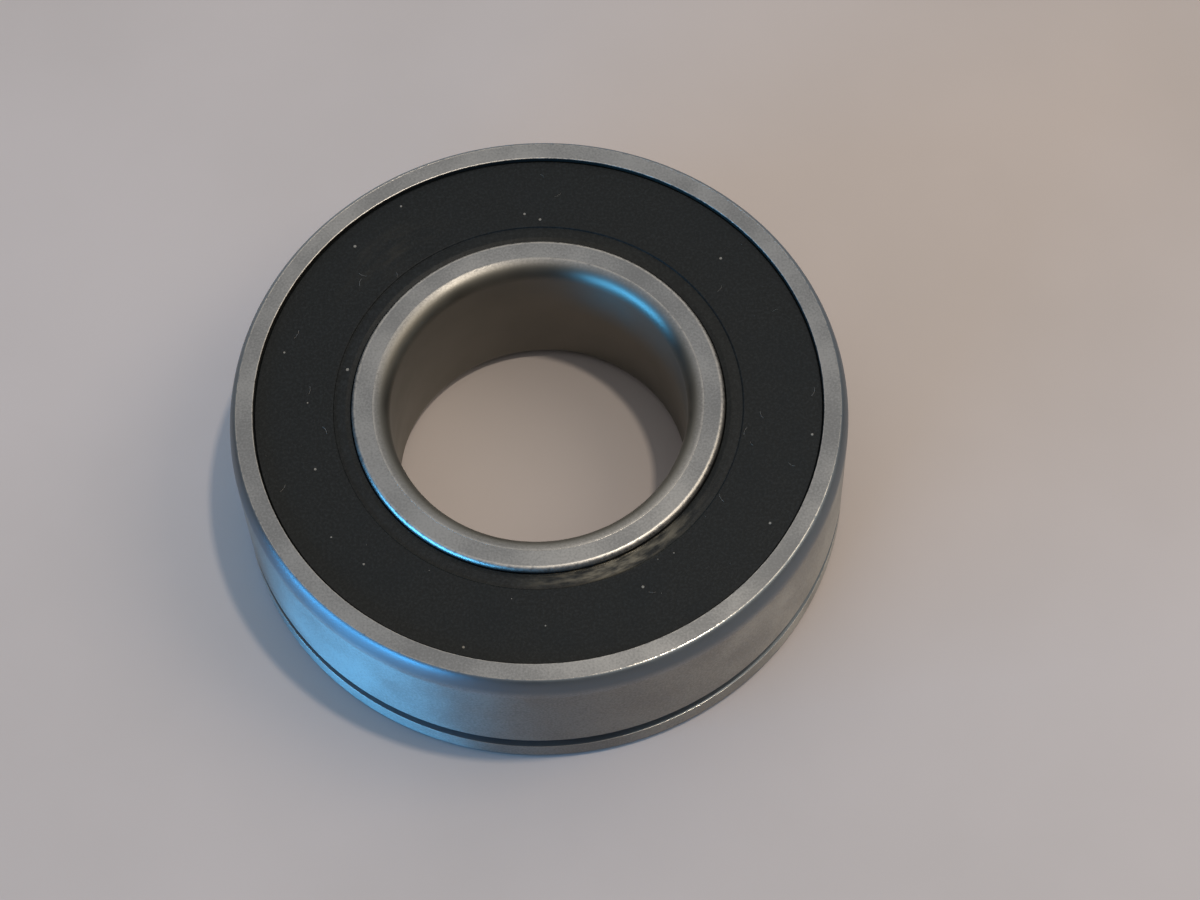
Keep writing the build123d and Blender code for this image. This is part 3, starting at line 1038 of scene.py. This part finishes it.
def build_lint():
    """Bent fibres of one thickness, scattered flat over a ring-shaped area."""
    sizes = {
        "Count": "Int", "Inner Radius": "Float", "Outer Radius": "Float", "Height": "Float",
        "Length": "Float", "Thickness": "Float", "Seed": "Int", "Material": "Material",
    }
    tree, inputs, outputs = new_tree("lint", sizes)
    nodes = tree.nodes

    def random_float(low, high, offset):
        """A random number for each fibre; every offset from the seed gives a new row of them."""
        node = nodes.new("FunctionNodeRandomValue")
        node.data_type = "FLOAT"
        for label, value in (("Min", low), ("Max", high)):
            socket = [s for s in node.inputs if s.name == label and s.type == "VALUE"][0]
            feed(tree, value, socket)
        seed = math_node(tree, "ADD", inputs.outputs["Seed"], float(offset))
        tree.links.new(seed, node.inputs["Seed"])
        return [s for s in node.outputs if s.type == "VALUE"][0]

    points = nodes.new("GeometryNodePoints")
    tree.links.new(inputs.outputs["Count"], points.inputs["Count"])
    angle = random_float(0.0, math.tau, 1)
    radius = random_float(inputs.outputs["Inner Radius"], inputs.outputs["Outer Radius"], 2)
    place = nodes.new("ShaderNodeCombineXYZ")
    for axis, wave in (("X", "COSINE"), ("Y", "SINE")):
        along = math_node(tree, "MULTIPLY", radius, math_node(tree, wave, angle))
        tree.links.new(along, place.inputs[axis])
    tree.links.new(inputs.outputs["Height"], place.inputs["Z"])
    tree.links.new(place.outputs["Vector"], points.inputs["Position"])

    fibre = nodes.new("GeometryNodeCurveQuadraticBezier")
    fibre.inputs["Resolution"].default_value = FIBRE_STEPS
    half = math_node(tree, "MULTIPLY", inputs.outputs["Length"], 0.5)
    for label, side, bend in (("Start", -1.0, 0.0), ("Middle", 0.0, 0.5), ("End", 1.0, 0.1)):
        point = nodes.new("ShaderNodeCombineXYZ")
        tree.links.new(math_node(tree, "MULTIPLY", half, side), point.inputs["X"])
        tree.links.new(math_node(tree, "MULTIPLY", half, bend), point.inputs["Y"])
        tree.links.new(point.outputs["Vector"], fibre.inputs[label])
    section = nodes.new("GeometryNodeCurvePrimitiveCircle")
    section.inputs["Resolution"].default_value = FIBRE_SIDES
    thicken = nodes.new("GeometryNodeCurveToMesh")
    thicken.inputs["Fill Caps"].default_value = True
    spread = nodes.new("GeometryNodeInstanceOnPoints")
    turn = nodes.new("ShaderNodeCombineXYZ")
    tree.links.new(random_float(0.0, math.tau, 3), turn.inputs["Z"])
    link_chain(
        tree,
        inputs.outputs["Thickness"], section.inputs["Radius"],
        fibre.outputs["Curve"], thicken.inputs["Curve"],
        section.outputs["Curve"], thicken.inputs["Profile Curve"],
        points.outputs["Points"], spread.inputs["Points"],
        thicken.outputs["Mesh"], spread.inputs["Instance"],
        turn.outputs["Vector"], spread.inputs["Rotation"],
        random_float(SHORTEST_SHARE, 1.0, 4), spread.inputs["Scale"],
    )
    finish_tree(tree, spread.outputs["Instances"], inputs, outputs)
    return tree


def build_lint_material():
    """Pale and dull, like cotton that has picked up dust."""
    material, tree, shader = new_material("pale_lint")
    cloud = noise(tree, object_place(tree), 900.0, detail=2.0)
    colour = mix_colour(tree, cloud, (0.16, 0.15, 0.14), (0.32, 0.30, 0.27))
    tree.links.new(colour, shader.inputs["Base Color"])
    shader.inputs["Roughness"].default_value = 0.85
    return material


lint_tree, lint_material = build_lint(), build_lint_material()
lint_inside, lint_outside = step_radius + 0.3 * MM, web_radius - 0.7 * MM
THIN_MERGE_DISTANCE = 1e-8
LINT_LIFT = 0.6  # of its thickness, so that it lies on the rubber
for name, count, length, thickness, seed in (
    ("seal_fibres", 18, 0.9 * MM, 0.010 * MM, 7),
    ("seal_crumbs", 12, 0.06 * MM, 0.017 * MM, 23),
):
    lint = run_bare(
        name, lint_tree, count=count, inner_radius=lint_inside, outer_radius=lint_outside,
        height=seal_top + LINT_LIFT * thickness, length=length, thickness=thickness, seed=seed,
        material=lint_material,
    )
    point_outwards(lint, merge=THIN_MERGE_DISTANCE)
    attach(lint, "outer")

# %% [markdown]
# ## Floor
# The bearing lies on a pale, warm and slightly mottled surface.  One large plane with a soft noise
# is enough.  It sits a hair below the bearing, because two surfaces at exactly the same height
# would flicker through each other.

# %% Floor
FLOOR_GAP, FLOOR_SIZE = 0.03 * MM, 3.0


def build_floor():
    """A dull pale surface, a little mottled."""
    material, tree, shader = new_material("pale_floor")
    cloud = noise(tree, object_place(tree), 22.0, detail=5.0)
    mottled = ramp(tree, cloud, 0.3, 0.7)
    colour = mix_colour(tree, mottled, (0.505, 0.452, 0.435), (0.55, 0.492, 0.478))
    tree.links.new(colour, shader.inputs["Base Color"])
    shader.inputs["Roughness"].default_value = 0.55
    return material


bpy.ops.mesh.primitive_plane_add(size=FLOOR_SIZE, location=(0, 0, -face - FLOOR_GAP))
floor = bpy.context.object
floor.name = "floor"
floor.data.materials.append(build_floor())
print(f"floor {FLOOR_SIZE} m wide, {FLOOR_GAP / MM:.2f} mm below the bearing")

# %% [markdown]
# ## Lights
# A small warm lamp almost straight overhead draws the sharp shadow inside the bore and the bright
# near rim.  A large soft one beside it warms the right of the outer wall.  A low blue window on
# the left gives the long streaks on the outside and on the bore corner.  The room itself is a
# smooth fade, bright overhead and behind and dark low in front, which steel needs to have
# something to reflect.

# %% Lights
def area_light(name, at, size, watts, colour, aim=(0, 0, 0)):
    """A rectangular lamp at a place, turned towards the aim."""
    data = bpy.data.lights.new(name, "AREA")
    data.shape = "RECTANGLE"
    data.size, data.size_y = size
    data.energy = watts
    data.color = colour
    light = bpy.data.objects.new(name, data)
    light.location = at
    light.rotation_euler = (Vector(aim) - Vector(at)).to_track_quat("-Z", "Y").to_euler()
    scene.collection.objects.link(light)
    print(f"{name}: {watts} W, {1000 * size[0]:.0f} x {1000 * size[1]:.0f} mm")


area_light("key_light", (0.22, -0.012, 0.98), (0.045, 0.045), 2.7, (1.0, 0.88, 0.73))
area_light("soft_light", (0.63, 0.02, 0.77), (0.5, 0.5), 1.8, (1.0, 0.87, 0.70))
area_light("window", (-1.17, -0.81, 0.16), (1.35, 0.50), 36.0, (0.09, 0.50, 1.0))

LEAN = 0.32  # how far the bright ceiling leans towards the back
CEILING, BACK_WALL, LOW_ROOM = (0.56, 0.555, 0.55), (1.0, 0.97, 0.93), (0.045, 0.045, 0.045)
world = bpy.data.worlds.new("room")
world.use_nodes = True
sky = world.node_tree
direction = sky.nodes.new("ShaderNodeTexCoord").outputs["Generated"]
split = sky.nodes.new("ShaderNodeSeparateXYZ")
sky.links.new(direction, split.inputs["Vector"])
leaning = math_node(sky, "MULTIPLY_ADD", split.outputs["Y"], LEAN, split.outputs["Z"])
above = ramp(sky, leaning, 0.25, 0.95)
behind = ramp(sky, split.outputs["Y"], 0.35, 0.95)
low = mix_colour(sky, behind, LOW_ROOM, BACK_WALL)
room = mix_colour(sky, above, low, CEILING)
background = sky.nodes["Background"]
sky.links.new(room, background.inputs["Color"])
background.inputs["Strength"].default_value = 1.0
scene.world = world
print("world:", world.name, "with", len(sky.nodes), "nodes")

# %% [markdown]
# ## Camera
# A long lens looks down from the front, with a slight roll as from a hand-held camera.  A matrix
# sets place and direction in one step, which is easier to check than three separate angles.

# %% Camera
camera_data = bpy.data.cameras.new("camera")
camera_data.sensor_width = 36.0
camera_data.lens = 95.3
camera = bpy.data.objects.new("camera", camera_data)
elevation, roll = math.radians(62.81), math.radians(-2.41)
aim = Matrix.Rotation(math.pi / 2 - elevation, 4, "X") @ Matrix.Rotation(roll, 4, "Z")
camera_at = Vector((0.0050, -0.1252, 0.2342 + face))
camera.matrix_world = Matrix.Translation(camera_at) @ aim
scene.collection.objects.link(camera)
scene.camera = camera
scene.view_settings.view_transform = "Standard"
print(f"camera {camera_at.length / MM:.0f} mm away, {camera_data.lens:.1f} mm lens")
